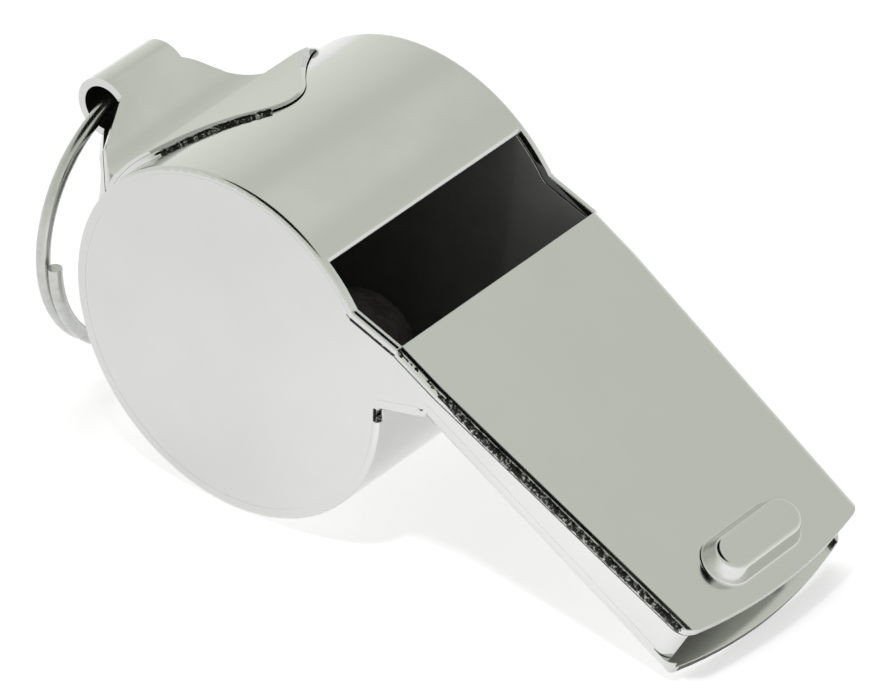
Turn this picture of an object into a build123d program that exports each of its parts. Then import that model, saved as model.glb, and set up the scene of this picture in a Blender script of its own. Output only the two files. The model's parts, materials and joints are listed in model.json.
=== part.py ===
from build123d import *
from math import acos, asin, atan2, cos, degrees, hypot, radians, sin, sqrt, tan
import os

# A sports whistle of stamped and soldered sheet metal, with a loose pea and a split ring.
# Lengths are in millimetres and angles in degrees.
# The body is drawn in whistle axes: Y along the barrel's axis, X towards the mouth, Z up from the level
# roof, and the origin on the barrel's axis. Angles there turn from X towards Z.
# At the end the whole whistle is tipped to stand on its barrel and its lower lip.

# Sheet
SHEET = 0.5                  # every stamping is cut from this sheet
SEAM = 0.08                  # soldered joint between two stampings
CUT_OVERRUN = 1.0            # how far a cutting shape runs past what it cuts
PLAN_EASE = 0.02             # the mouth's plan stands this far outside the sides that it leaves uncut

# Barrel
BARREL_RADIUS = 11.0         # outside of the strip
BODY_WIDTH = 18.0            # across the strip's two edges
STRIP_EDGE_ROUND = 0.25      # rolled outer corner of the strip's edges

# Sound window
LIP_ANGLE = 78.8             # where the lip stands on the barrel
LIP_BEVEL = 0.2              # length of the bevel on the lip, along the strip
LIP_EDGE = 0.36              # sheet left at the lip's edge
DIP_ANGLE = 63.0             # where the window's side rails leave the barrel for the roof
WINDOW_RUN = 6.16            # from the lip to the roof's rear edge
WINDOW_RAIL = 0.45           # width of each side rail

# Mouthpiece roof
ROOF_DROP = 0.64             # roof below the top of the barrel
ROOF_LENGTH = 22.5           # from its rear edge to the mouth's corners
ROOF_BOW = 0.9               # the front edge bows out by this much
ROOF_SKIRT = 0.55            # depth of the rolled long edges
ROOF_ROUND = 0.5             # outer radius of the rolled long edges
MOUTH_WIDTH = 15.8           # across the roof and floor at the mouth
ROOF_CORNER_ROUND = 1.25     # corner radius of the roof, seen from above
FLOOR_CORNER_ROUND = 0.95    # corner radius of the floor, seen from above

# Tooth bead pressed up from the roof
BEAD_LENGTH = 7.5            # across the roof, at the foot
BEAD_WIDTH = 3.1             # along the roof, at the foot
BEAD_SLOPE = 0.45            # the walls lean in by this much
BEAD_HEIGHT = 1.2
BEAD_SETBACK = 2.85          # from the middle of the roof's front edge to the bead's middle
BEAD_ROUND = 0.25            # rounding of the bead's crown
BEAD_FOOT = 0.15             # fillet from the roof up into the bead

# Mouthpiece floor
THROAT_ANGLE = 31.0          # where the strip leaves the barrel for the floor
THROAT_RAMP = 2.17           # level length of the strip's ramp up to the floor
THROAT_DEPTH = 2.6           # roof top to floor underside at the throat
MOUTH_DEPTH = 4.0            # roof top to floor underside at the mouth's corners
FLOOR_REACH = 0.3            # the floor's corners stand this far in front of the roof's
FLOOR_BOW = 1.0              # the lower lip bows out by this much
FLOOR_RISE = 1.05            # height of the floor's rolled long edges
FLOOR_ROUND = 0.95           # outer radius of the floor's rolled long edges
CHEEK_SETBACK = 0.9          # from the mouth's corners back to where the side plates' cheeks bend in
CHEEK_ROUND = 1.1            # outer radius of that bend
CHEEK_TURN = 55.0            # angle of that bend
RELIEF_LENGTH = 0.9          # notch in the strip's edge at the throat crease, along the strip
RELIEF_DEPTH = 0.4           # and across it

# Lanyard lug, one stamping folded round the eye, with two wings on the barrel
LUG_ANGLE = 183.8            # direction of the fold, on the barrel
LUG_EYE_REACH = 4.74         # barrel surface to the centre of the eye
LUG_EYE_RADIUS = 1.4
LUG_EYE_LENGTH = 5.3         # along Y
LUG_EYE_TAIL = 2.1           # centre of the eye to the tip of its teardrop
LUG_PLY_GAP = 0.1            # between the two folded plies
LUG_BEND = 1.7               # fillet from the plies to the wings, filled with solder
LUG_NECK = 1.0               # fillet from the eye to the plies
LUG_INSET = 2.0              # from the strip's edges in to the lug's sides, at the bend line
LUG_NECK_HALF = 5.0          # half the lug's width where the eye's teardrop ends
LUG_EYE_STRAIGHT = 0.6       # the eye keeps its length this far past its centre, then the lug widens
LUG_SHOULDER = 5.0           # from the fold to where a wing starts to narrow
LUG_WING_HEIGHT = 8.75       # from the fold to a wing's tip
LUG_WING_ROUND = 4.0         # radius of a wing's tip
LUG_TIP_SHEET = 0.15         # sheet left at a wing's tip, which is pressed thin

# Split ring
RING_OUTSIDE = 17.1
RING_WIRE = 0.85
RING_COIL_GAP = 0.45         # between the wires of two neighbouring turns
RING_TURNS = 1.6
RING_FIRST_END = 90.0        # first wire end, turned from the eye towards the near side
RING_ARC = 45.0              # turn of the ring covered by one pair of arcs
RING_LIFT = 0.4              # the wire stands this far above the eye's centre, clear of the flared plies

# Pea
PEA_DIAMETER = 8.0
PEA_CLEARANCE = 0.25         # between the pea and the inside of the barrel
PEA_ASIDE = 1.6              # the pea lies this far from the middle of the barrel

# Values worked out from the sizes above
HALF_WIDTH = BODY_WIDTH / 2
HALF_MOUTH = MOUTH_WIDTH / 2
CHAMBER_RADIUS = BARREL_RADIUS - SHEET
DISC_RADIUS = CHAMBER_RADIUS - SEAM
ROOF_Z = BARREL_RADIUS - ROOF_DROP
ROOF_REAR = BARREL_RADIUS * cos(radians(LIP_ANGLE)) + WINDOW_RUN
ROOF_CORNER = ROOF_REAR + ROOF_LENGTH
FLOOR_REAR = BARREL_RADIUS * cos(radians(THROAT_ANGLE)) + THROAT_RAMP
FLOOR_REAR_Z = ROOF_Z - THROAT_DEPTH
FLOOR_CORNER = ROOF_CORNER + FLOOR_REACH
FLOOR_CORNER_Z = ROOF_Z - MOUTH_DEPTH
FLOOR_SLOPE = (FLOOR_CORNER_Z - FLOOR_REAR_Z) / (FLOOR_CORNER - FLOOR_REAR)
SIDE_TAPER = (HALF_MOUTH - HALF_WIDTH) / (ROOF_CORNER - FLOOR_REAR)
MOUTH_END = FLOOR_CORNER + FLOOR_BOW + CUT_OVERRUN
EYE_RADIAL = BARREL_RADIUS + LUG_EYE_REACH
LUG_HALF = HALF_WIDTH - LUG_INSET
RING_RADIUS = (RING_OUTSIDE - RING_WIRE) / 2
RING_PITCH = RING_WIRE + RING_COIL_GAP


def on_circle(radius, angle):
    """Point of the XZ profile at a radius and angle about the barrel's axis."""
    return Vector(radius * cos(radians(angle)), radius * sin(radians(angle)))


def floor_z(x):
    """Height of the floor's underside."""
    return FLOOR_REAR_Z + FLOOR_SLOPE * (x - FLOOR_REAR)


def half_width(x):
    """Half the width of the mouthpiece, which tapers from the throat to the mouth."""
    return HALF_WIDTH + SIDE_TAPER * max(x - FLOOR_REAR, 0)


DIP = on_circle(BARREL_RADIUS, DIP_ANGLE)
ROOF_BACK = Vector(ROOF_REAR, ROOF_Z)
CREASE = on_circle(BARREL_RADIUS, THROAT_ANGLE)
RAMP_TOP = Vector(FLOOR_REAR, FLOOR_REAR_Z)
LIP_TIP = Vector(FLOOR_CORNER + FLOOR_BOW, floor_z(FLOOR_CORNER + FLOOR_BOW))


def inward(start, end):
    """Unit normal of a profile line, pointing to the right of its direction."""
    along = (end - start).normalized()
    return Vector(along.Y, -along.X)


RAIL_NORMAL = inward(DIP, ROOF_BACK)
RAMP_NORMAL = inward(RAMP_TOP, CREASE)


def outline(points):
    """Closed face with straight sides."""
    return make_face(Polyline(*points, close=True))


def across(face, half):
    """XZ profile carried across the body, as far to each side."""
    return extrude(Plane.XZ * face, amount=half, both=True)


def turned(angle, shape):
    """Shape turned about the barrel's axis, from X towards Z."""
    return Rot(0, -angle, 0) * shape


def strip_section():
    """Cross-section of the strip, outer face at zero, with rolled outer corners."""
    face = Pos(-SHEET / 2, 0) * Rectangle(SHEET, BODY_WIDTH)
    corners = face.vertices().group_by(Axis.X)[-1]
    return fillet(corners, STRIP_EDGE_ROUND)


def strip_arc(first, last, section):
    """Cross-section swept round the barrel from one angle to another."""
    placed = turned(first, Pos(BARREL_RADIUS, 0) * section)
    return revolve(placed, Axis((0, 0, 0), (0, -1, 0)), last - first)


def strip_run(start, end, normal):
    """Straight run of the strip, its outer face along a profile line."""
    along = end - start
    place = Plane(
        origin=(start.X, 0, start.Y),
        x_dir=(-normal.X, 0, -normal.Y),
        z_dir=(along.X, 0, along.Y),
    )
    return extrude(place * strip_section(), amount=along.length)


def mouth_plan(rear, corner, bow, rounding):
    """Outline of the mouthpiece from above, with a bowed front edge and round corners."""
    side = HALF_WIDTH + PLAN_EASE
    front = half_width(corner) + PLAN_EASE
    near_side = Polyline((corner, -front), (FLOOR_REAR, -side), (rear, -side))
    far_side = Polyline((rear, side), (FLOOR_REAR, side), (corner, front))
    back = Line((rear, -side), (rear, side))
    lip = ThreePointArc((corner, front), (corner + bow, 0), (corner, -front))
    face = make_face(Curve() + [near_side, back, far_side, lip])
    return fillet(face.vertices().group_by(Axis.X)[-1], rounding)


def tray_section(x, half, base, crown, rounding):
    """Cross-section of a shallow tray whose crown side has rolled corners."""
    face = outline([(-half, base), (half, base), (half, crown), (-half, crown)])
    order = face.vertices().sort_by(lambda vertex: abs(vertex.Y - crown))
    face = fillet(order[:2], rounding) if rounding > 0 else face
    return Plane(origin=(x, 0, 0), x_dir=(0, 1, 0), z_dir=(1, 0, 0)) * face


def tray_body(rear, base, crown, inset, rounding):
    """Tray shape along the mouthpiece: level with the barrel to the throat, then tapering."""
    stations = [rear, FLOOR_REAR, MOUTH_END] if rear < FLOOR_REAR else [rear, MOUTH_END]
    sections = [
        tray_section(x, half_width(x) - inset, base(x), crown(x), rounding) for x in stations
    ]
    spans = [loft(pair, ruled=True) for pair in zip(sections, sections[1:])]
    return Part() + spans


def tray(rear, base, crown, rounding, towards_crown):
    """Hollow tray: a sheet with rolled long edges that reach from the crown to the base."""
    outer = tray_body(rear, base, crown, 0, rounding)
    hollow = tray_body(
        rear,
        lambda x: base(x) - towards_crown * CUT_OVERRUN,
        lambda x: crown(x) - towards_crown * SHEET,
        SHEET,
        rounding - SHEET,
    )
    return outer - hollow


def bead():
    """Oblong bead pressed up from the roof, and the hollow that the press leaves under it."""
    middle = ROOF_CORNER + ROOF_BOW - BEAD_SETBACK
    foot = SlotOverall(BEAD_LENGTH, BEAD_WIDTH, rotation=90)
    crown = SlotOverall(BEAD_LENGTH - 2 * BEAD_SLOPE, BEAD_WIDTH - 2 * BEAD_SLOPE, rotation=90)
    block = loft([Pos(middle, 0, ROOF_Z) * foot, Pos(middle, 0, ROOF_Z + BEAD_HEIGHT) * crown])
    block = fillet(block.faces().sort_by(Axis.Z)[-1].edges(), BEAD_ROUND)
    inner_foot = offset(foot, -SHEET)
    inner_crown = offset(crown, -SHEET)
    hollow = loft([
        Pos(middle, 0, ROOF_Z - SHEET) * inner_foot,
        Pos(middle, 0, ROOF_Z + BEAD_HEIGHT - SHEET) * inner_crown,
    ])
    return block, hollow


def roof():
    """Mouthpiece roof with rolled long edges and the tooth bead."""
    lid = tray(ROOF_REAR, lambda x: ROOF_Z - ROOF_SKIRT, lambda x: ROOF_Z, ROOF_ROUND, 1)
    plan = mouth_plan(ROOF_REAR - CUT_OVERRUN, ROOF_CORNER, ROOF_BOW, ROOF_CORNER_ROUND)
    reach = extrude(plan, amount=ROOF_Z + CUT_OVERRUN)
    block, hollow = bead()
    lid = (lid & reach) + block
    middle = ROOF_CORNER + ROOF_BOW - BEAD_SETBACK
    near = SHEET / 10
    foot = lid.edges().filter_by_position(Axis.Z, ROOF_Z - near, ROOF_Z + near).filter_by(
        lambda edge: hypot(edge.center().X - middle, edge.center().Y) < BEAD_LENGTH / 2 + near
        and abs(edge.center().X - middle) < BEAD_WIDTH / 2 + near
    )
    return fillet(foot, BEAD_FOOT) - hollow


def window():
    """Room cut from the strip between the lip and the roof, and the bevel that thins the lip."""
    open_half = HALF_WIDTH - WINDOW_RAIL
    deep = 2 * SHEET + 2 * CUT_OVERRUN
    gap = Rectangle(deep, 2 * open_half)
    arc = strip_arc(DIP_ANGLE, LIP_ANGLE, gap)
    room = outline([
        DIP + RAIL_NORMAL * deep,
        ROOF_BACK + RAIL_NORMAL * deep,
        ROOF_BACK - RAIL_NORMAL * deep,
        DIP - RAIL_NORMAL * deep,
    ])
    dip = outline([DIP, on_circle(BARREL_RADIUS - deep, DIP_ANGLE), DIP + RAIL_NORMAL * deep])
    lip = on_circle(BARREL_RADIUS - SHEET + LIP_EDGE, LIP_ANGLE)
    bevel_angle = degrees(LIP_BEVEL / BARREL_RADIUS)
    heel = on_circle(BARREL_RADIUS, LIP_ANGLE + bevel_angle)
    past = on_circle(BARREL_RADIUS + CUT_OVERRUN, LIP_ANGLE)
    bevel = outline([lip, heel, past])
    return arc + across(room, open_half) + across(dip, open_half) + across(bevel, open_half)


def bend(corner, angle, normal):
    """Sheet that fills the inside of a bend where the strip leaves the barrel."""
    inner = on_circle(CHAMBER_RADIUS, angle)
    return across(outline([corner, inner, corner + normal * SHEET]), HALF_WIDTH)


def relief(side):
    """Notch in the strip's edge just below the throat crease."""
    turn = THROAT_ANGLE - degrees(RELIEF_LENGTH / BARREL_RADIUS) / 2
    notch = Box(SHEET + CUT_OVERRUN, 2 * RELIEF_DEPTH, RELIEF_LENGTH)
    return turned(turn, Pos(BARREL_RADIUS, side * HALF_WIDTH, 0) * notch)


def top_strip():
    """Roof, window rails, barrel wall and throat ramp, all one stamping."""
    wall = strip_arc(DIP_ANGLE, THROAT_ANGLE + 360, strip_section())
    rails = strip_run(DIP, ROOF_BACK, RAIL_NORMAL)
    ramp_run = CREASE + (RAMP_TOP - CREASE) * 2
    ramp = strip_run(CREASE, ramp_run, RAMP_NORMAL)
    past = FLOOR_REAR + BARREL_RADIUS
    front = Pos((FLOOR_REAR + past) / 2, 0, FLOOR_REAR_Z) * Box(
        past - FLOOR_REAR, BODY_WIDTH + CUT_OVERRUN, BODY_WIDTH
    )
    sheet = wall + rails + bend(DIP, DIP_ANGLE, RAIL_NORMAL) - window()
    sheet = sheet + roof() + (ramp - front) + bend(CREASE, THROAT_ANGLE, RAMP_NORMAL)
    for side in (-1, 1):
        sheet = sheet - relief(side)
    return sheet


def mouthpiece_floor():
    """Floor of the mouthpiece with rolled long edges, ending in the lower lip."""
    rear = FLOOR_REAR + SEAM
    pan = tray(rear, lambda x: floor_z(x) + FLOOR_RISE, floor_z, FLOOR_ROUND, -1)
    plan = mouth_plan(rear - CUT_OVERRUN, FLOOR_CORNER, FLOOR_BOW, FLOOR_CORNER_ROUND)
    return pan & extrude(plan, amount=ROOF_Z)


def side_profile():
    """Profile of a side plate: a disc inside the strip, a neck and the cheek of the mouthpiece."""
    step = SHEET + SEAM
    top = ROOF_Z - ROOF_SKIRT - SEAM
    front = ROOF_CORNER + ROOF_BOW
    low = FLOOR_RISE + SEAM
    ramp_foot = CREASE + RAMP_NORMAL * step
    ramp_way = (RAMP_TOP - CREASE).normalized()
    ramp_head = ramp_foot + ramp_way * ((FLOOR_REAR - ramp_foot.X) / ramp_way.X)
    rail_foot = DIP + RAIL_NORMAL * step
    rail_way = (ROOF_BACK - DIP).normalized()
    rail_head = rail_foot + rail_way * ((ROOF_REAR - SEAM - rail_foot.X) / rail_way.X)
    neck = outline([
        (0, 0),
        on_circle(DISC_RADIUS, THROAT_ANGLE),
        ramp_foot,
        ramp_head,
        (FLOOR_REAR, floor_z(FLOOR_REAR) + low),
        (front, floor_z(front) + low),
        (front, top),
        (ROOF_REAR - SEAM, top),
        rail_head,
        rail_foot,
        on_circle(DISC_RADIUS, DIP_ANGLE),
    ])
    return Circle(DISC_RADIUS) + neck


def cheek_bend(side):
    """Plan of a cheek's front end, bent round the mouth's corner, and where it leaves the flat cheek."""
    start = Vector(ROOF_CORNER - CHEEK_SETBACK, side * half_width(ROOF_CORNER - CHEEK_SETBACK))
    along = Vector(1, side * SIDE_TAPER).normalized()
    across_sheet = Vector(side * along.Y, -side * along.X)
    centre = start + across_sheet * CHEEK_ROUND
    rims = []
    for radius in (CHEEK_ROUND, CHEEK_ROUND - SHEET):
        turns = [radians(CHEEK_TURN * share) for share in (0, 0.5, 1)]
        rims.append([centre + (along * sin(turn) - across_sheet * cos(turn)) * radius for turn in turns])
    outer, inner = rims
    edges = Curve() + [
        ThreePointArc(*outer), Line(outer[2], inner[2]), ThreePointArc(*inner), Line(inner[0], outer[0]),
    ]
    return make_face(edges), outer[0], inner[0]


def side_plate(side):
    """Side plate: flat over the barrel, bent in along the tapering mouthpiece and round its corner."""
    back = -BARREL_RADIUS
    bent, outer, inner = cheek_bend(side)
    band = outline([
        (back, side * HALF_WIDTH),
        (FLOOR_REAR, side * HALF_WIDTH),
        outer,
        inner,
        (FLOOR_REAR, side * (HALF_WIDTH - SHEET)),
        (back, side * (HALF_WIDTH - SHEET)),
    ])
    return across(side_profile(), BODY_WIDTH) & extrude(band + bent, amount=BODY_WIDTH, both=True)


def teardrop(grown):
    """Profile of the eye: a circle drawn out to a point towards the barrel."""
    lean = asin(LUG_EYE_RADIUS / LUG_EYE_TAIL)
    radius = LUG_EYE_RADIUS + grown
    touch = (EYE_RADIAL - radius * sin(lean), radius * cos(lean))
    tail = EYE_RADIAL - radius / sin(lean)
    return Pos(EYE_RADIAL, 0) * Circle(radius) + outline([(tail, 0), touch, (touch[0], -touch[1])])


def lug_profile():
    """Profile of the lug, its fold along X: two wings, two plies and the eye."""
    seat = BARREL_RADIUS + SEAM
    ply_end = EYE_RADIAL - LUG_EYE_TAIL
    ply_half = LUG_PLY_GAP / 2 + SHEET
    tip_share = cos(asin(LUG_WING_HEIGHT / seat))
    shift = (SHEET - LUG_TIP_SHEET) / (1 - tip_share)
    back = seat + SHEET - shift
    wings = Pos(shift, 0) * Circle(back) - Circle(seat)
    reach = Pos(seat, 0) * Rectangle(2 * seat, 2 * (LUG_WING_HEIGHT + CUT_OVERRUN))
    plies = Pos((seat + ply_end) / 2, 0) * Rectangle(ply_end - seat, 2 * ply_half)
    fold = (wings & reach) + (plies - Circle(seat)) + teardrop(SHEET)
    corner = shift + sqrt(back ** 2 - ply_half ** 2)
    inner_corners = fold.vertices().sort_by(
        lambda vertex: hypot(vertex.X - corner, abs(vertex.Y) - ply_half)
    )
    fold = fillet(inner_corners[:2], LUG_BEND)
    lean = asin(LUG_EYE_RADIUS / LUG_EYE_TAIL)
    neck = EYE_RADIAL - (LUG_EYE_RADIUS + SHEET) / sin(lean) + ply_half / tan(lean)
    neck_corners = fold.vertices().sort_by(
        lambda vertex: hypot(vertex.X - neck, abs(vertex.Y) - ply_half)
    )
    fold = fillet(neck_corners[:2], LUG_NECK)
    slit = Pos((seat + ply_end) / 2, 0) * Rectangle(ply_end - seat + CUT_OVERRUN, LUG_PLY_GAP)
    return fold - teardrop(0) - slit


def wing_plan():
    """Outline of both wings, seen along the fold: straight sides, then shoulders to a round tip."""
    half = LUG_HALF
    centre = LUG_WING_HEIGHT - LUG_WING_ROUND
    shoulder = Vector(LUG_SHOULDER - centre, half)
    lean = atan2(shoulder.Y, shoulder.X) - acos(LUG_WING_ROUND / shoulder.length)
    touch_z = centre + LUG_WING_ROUND * cos(lean)
    touch_y = LUG_WING_ROUND * sin(lean)
    edges = Curve()
    for up in (1, -1):
        edges += ThreePointArc((-touch_y, up * touch_z), (0, up * LUG_WING_HEIGHT), (touch_y, up * touch_z))
        for side in (1, -1):
            edges += Line((side * touch_y, up * touch_z), (side * half, up * LUG_SHOULDER))
    for side in (1, -1):
        edges += Line((side * half, LUG_SHOULDER), (side * half, -LUG_SHOULDER))
    return make_face(edges)


def lanyard_lug():
    """Lug folded from one stamping: wings on the barrel, and an eye that holds the split ring."""
    half = LUG_HALF
    eye_half = LUG_EYE_LENGTH / 2
    wing_top = BARREL_RADIUS + SEAM + SHEET
    far = EYE_RADIAL + LUG_EYE_RADIUS + SHEET + CUT_OVERRUN
    past = half + CUT_OVERRUN
    room = extrude(Plane.YZ * wing_plan(), amount=far)
    for side in (-1, 1):
        flare = outline([
            (wing_top, side * half), (EYE_RADIAL - LUG_EYE_TAIL, side * LUG_NECK_HALF),
            (EYE_RADIAL - LUG_EYE_STRAIGHT, side * eye_half), (far, side * eye_half),
            (far, side * past), (wing_top, side * past),
        ])
        room = room - extrude(flare, amount=BARREL_RADIUS, both=True)
    return turned(LUG_ANGLE, across(lug_profile(), past) & room)


def arc_pair(start, start_way, end, end_way):
    """Two arcs in space that leave the start and reach the end in the given directions."""
    span = end - start
    ways = start_way + end_way
    spread = 2 * (1 - start_way.dot(end_way))
    reach = span.dot(ways)
    handle = (sqrt(reach * reach + spread * span.dot(span)) - reach) / spread
    middle = (start + start_way * handle + end - end_way * handle) * 0.5
    first = Edge.make_tangent_arc(start, start_way, middle)
    second = Edge.make_tangent_arc(middle, first.tangent_at(1), end)
    return [first, second]


def ring_point(turn):
    """Point of the ring's wire, from the eye at a whole turn, hanging straight down."""
    angle = radians(turn)
    along = -RING_PITCH * (turn - 360) / 360
    return Vector(along, -RING_RADIUS * sin(angle), RING_RADIUS * (cos(angle) - 1) + RING_LIFT)


def ring_way(turn):
    """Direction of the ring's wire."""
    angle = radians(turn)
    return Vector(
        -RING_PITCH / radians(360), -RING_RADIUS * cos(angle), -RING_RADIUS * sin(angle)
    ).normalized()


def split_ring():
    """Wire wound into an open ring, with the eye at its origin."""
    count = round(360 * RING_TURNS / RING_ARC)
    turns = [RING_FIRST_END + 360 * RING_TURNS * step / count for step in range(count + 1)]
    edges = []
    for first, last in zip(turns, turns[1:]):
        edges += arc_pair(ring_point(first), ring_way(first), ring_point(last), ring_way(last))
    end = Plane(origin=ring_point(turns[0]), z_dir=ring_way(turns[0]))
    return sweep(end * Circle(RING_WIRE / 2), path=Wire(edges))


def ring_gap():
    """Least gap between neighbouring turns of the ring, measured on points of the wire."""
    last = RING_FIRST_END + 360 * RING_TURNS
    steps = [RING_FIRST_END + step for step in range(round(last - RING_FIRST_END) + 1)]
    points = [ring_point(step) for step in steps]
    half_turn = 180
    gaps = [
        (points[later] - points[earlier]).length - RING_WIRE
        for earlier in range(len(points))
        for later in range(earlier + half_turn, len(points))
    ]
    return min(gaps)


def hanging(ring):
    """Ring swung about the eye until its weight hangs straight below it."""
    weight = ring.center(CenterOf.MASS)
    return Rot(0, degrees(atan2(weight.X, -weight.Z)), 0) * ring


# The whistle rests on the bottom of its barrel and on the tip of its lower lip.
REST_PITCH = degrees(asin(BARREL_RADIUS / LIP_TIP.length) + atan2(LIP_TIP.Y, LIP_TIP.X))


def standing(point):
    """Profile point of the whistle, tipped as the whistle stands."""
    pitch = radians(REST_PITCH)
    return Vector(
        point.X * cos(pitch) + point.Y * sin(pitch), 0, point.Y * cos(pitch) - point.X * sin(pitch)
    )


def pea():
    """Loose pea, lying on the bottom of the chamber."""
    radius = PEA_DIAMETER / 2
    drop = CHAMBER_RADIUS - PEA_CLEARANCE - radius
    return Pos(0, PEA_ASIDE, -drop) * Sphere(radius)


tip = Rot(0, REST_PITCH, 0)
eye = standing(on_circle(EYE_RADIAL, LUG_ANGLE))
pieces = {
    "top_strip": tip * top_strip(),
    "left_side_plate": tip * side_plate(1),
    "right_side_plate": tip * side_plate(-1),
    "mouthpiece_floor": tip * mouthpiece_floor(),
    "lanyard_lug": tip * lanyard_lug(),
    "split_ring": Pos(eye) * hanging(split_ring()),
    "pea": pea(),
}

# The origin is on the surface that the whistle stands on, below the middle of its box.
boxes = [piece.bounding_box() for piece in pieces.values()]
least_x = min(box.min.X for box in boxes)
most_x = max(box.max.X for box in boxes)
floor = Vector(-(least_x + most_x) / 2, 0, BARREL_RADIUS)

os.makedirs("parts", exist_ok=True)
for name, piece in pieces.items():
    export_step(Pos(floor) * piece, os.path.join("parts", name + ".step"))

print("rest pitch", round(REST_PITCH, 3))
print("barrel axis", [round(value, 4) for value in floor])
print("eye", [round(value, 4) for value in floor + eye])
print("least gap of the split ring to itself", round(ring_gap(), 3))
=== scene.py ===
"""Dresses a stamped and soldered sports whistle: plate, solder, split ring, pea and studio stage."""
import json
import math

import bmesh
import bpy
from bpy.props import FloatProperty, FloatVectorProperty, IntProperty, PointerProperty
from mathutils import Matrix, Vector, noise


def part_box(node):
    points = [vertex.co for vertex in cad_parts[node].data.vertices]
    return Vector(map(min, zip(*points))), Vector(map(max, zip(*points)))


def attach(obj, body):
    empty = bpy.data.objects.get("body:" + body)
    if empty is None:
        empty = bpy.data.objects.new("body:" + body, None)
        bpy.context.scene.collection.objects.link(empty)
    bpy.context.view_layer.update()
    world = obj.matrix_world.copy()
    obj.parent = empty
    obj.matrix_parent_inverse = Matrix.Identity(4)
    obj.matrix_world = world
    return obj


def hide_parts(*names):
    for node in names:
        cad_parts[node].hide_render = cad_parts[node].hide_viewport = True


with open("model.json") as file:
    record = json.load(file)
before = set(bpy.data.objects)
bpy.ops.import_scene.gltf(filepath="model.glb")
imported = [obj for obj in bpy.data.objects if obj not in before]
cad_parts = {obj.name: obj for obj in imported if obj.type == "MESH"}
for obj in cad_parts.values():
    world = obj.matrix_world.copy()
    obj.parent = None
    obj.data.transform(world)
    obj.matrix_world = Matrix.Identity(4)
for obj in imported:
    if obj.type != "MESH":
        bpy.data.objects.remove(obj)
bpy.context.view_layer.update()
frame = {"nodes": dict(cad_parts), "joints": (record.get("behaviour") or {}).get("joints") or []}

bl_info = {
    "name": "Sports whistle dresser",
    "version": (1, 0, 0),
    "blender": (4, 5, 0),
    "location": "3D View > Sidebar > Whistle",
    "description": "Plates, solders and lights a sheet metal pea whistle around its fixed frame",
    "category": "Object",
}

MM = 0.001
MERGE = 0.0002 * MM
JOINT_AT = {joint["name"]: Vector(joint["pos_m"]) for joint in frame["joints"]}

# Whistle axes: origin on the barrel's axis, X towards the mouth, Z up from the level roof.
BARREL_AXIS = JOINT_AT["pea_orbit"]
REST_PITCH = math.radians(30.738)
TO_ROW = Matrix.Translation(BARREL_AXIS) @ Matrix.Rotation(REST_PITCH, 4, "Y")
TO_WHISTLE = TO_ROW.inverted()

# Sizes of the stampings that seams and finishes follow
SHEET = 0.5 * MM
SEAM = 0.08 * MM
BARREL_RADIUS = BARREL_AXIS.z
CHAMBER_RADIUS = BARREL_RADIUS - SHEET
HALF_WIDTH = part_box("top_strip")[1].y
ROOF_Z = BARREL_RADIUS - 0.64 * MM
ROOF_SKIRT = 0.55 * MM
ROOF_REAR = 8.297 * MM
ROOF_FRONT = 29.8 * MM
DIP_ANGLE = math.radians(63.0)
THROAT_ANGLE = math.radians(31.0)
FLOOR_REAR = 11.6 * MM
FLOOR_REAR_Z = ROOF_Z - 2.6 * MM
FLOOR_SLOPE = -0.0718
FLOOR_RISE = 1.05 * MM
SIDE_TAPER = -0.0573
THROAT_FRONT = FLOOR_REAR + 2.0 * MM
THROAT_LOW = FLOOR_REAR_Z - 1.0 * MM
LIP_REAR = ROOF_FRONT - 1.0 * MM
EYE = JOINT_AT["ring_swing"]
LUG_ANGLE = math.radians(183.8)
LUG_HALF = HALF_WIDTH - 2.0 * MM
LUG_SHOULDER = 5.0 * MM
LUG_WING_HEIGHT = 8.75 * MM
LUG_WING_ROUND = 4.0 * MM
LUG_FOLD = Vector((math.cos(LUG_ANGLE), 0, math.sin(LUG_ANGLE)))
LUG_RISE = Vector((LUG_FOLD.z, 0, -LUG_FOLD.x))

# Places of the three finishes on a stamping; the last is a dark colour painted as shade
POLISHED, TARNISHED, PAINTED_SHADE = range(3)

# Parts of a face's normal by which the surfaces of the lug and the lip are told apart
SIDEWAYS = 0.3
OUTER_LIFT = 0.3
LINING_LIFT = -0.1
END_ON = 0.5
RIM_LEAN = 0.9
LIP_AHEAD = 0.8

# Calm of the lug's buffed sheet: share of the calm normal, its lean at the wing tips, how early it leans
LUG_CALM = 0.85
LUG_CALM_LEAN = math.radians(38.0)
LUG_CALM_EASE = 1.7

# Sides of the body by their sign in Y, and wings of the lug by the sign of their turn on the barrel
SIDES = {"right": -1, "left": 1}
WINGS = {"upper": -1, "lower": 1}

# Solder at the wings: its start from the fold, its step, and the pitted radius as a share of the bead's
WING_START = 1.0 * MM
WING_STEP = 0.2 * MM
PITTED_SHARE = 0.8

# Solder under the roof's edge: drops as shares of the skirt, sinks as shares of the bead's radius,
# and the place from which it stands out in full
ROOF_SOLDER_DROP = {"right": 0.55, "left": 1.3}
ROOF_SOLDER_FULL = FLOOR_REAR + 3.0 * MM
ROOF_SOLDER_SINK = 0.6
ROOF_SOLDER_REAR_SINK = 1.25

# How far the ring's first end stands ahead of the eye, as a share of the coil's pitch
RING_LEAD = 0.75

# Places and sizes on the stage, in metres
AIM = Vector((0.298 * MM, 0, 9.42 * MM))
PAPER_HALF = 1.5
TENT_RADIUS = 1.2
TENT_FOOT = -0.01
SOFT_LAMP_PLACE = (-0.15, 0.2, 0.75)
SOFT_LAMP_WIDTH = 0.6
FRONT_LAMP_PLACE = (0.045, -0.115, 0.3)
FRONT_LAMP_CONE = math.radians(11)
FRONT_LAMP_RADIUS = 0.02
POOL_MIDDLE = Vector((13 * MM, -16 * MM, 0))
SENSOR_WIDTH = 36.0

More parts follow.
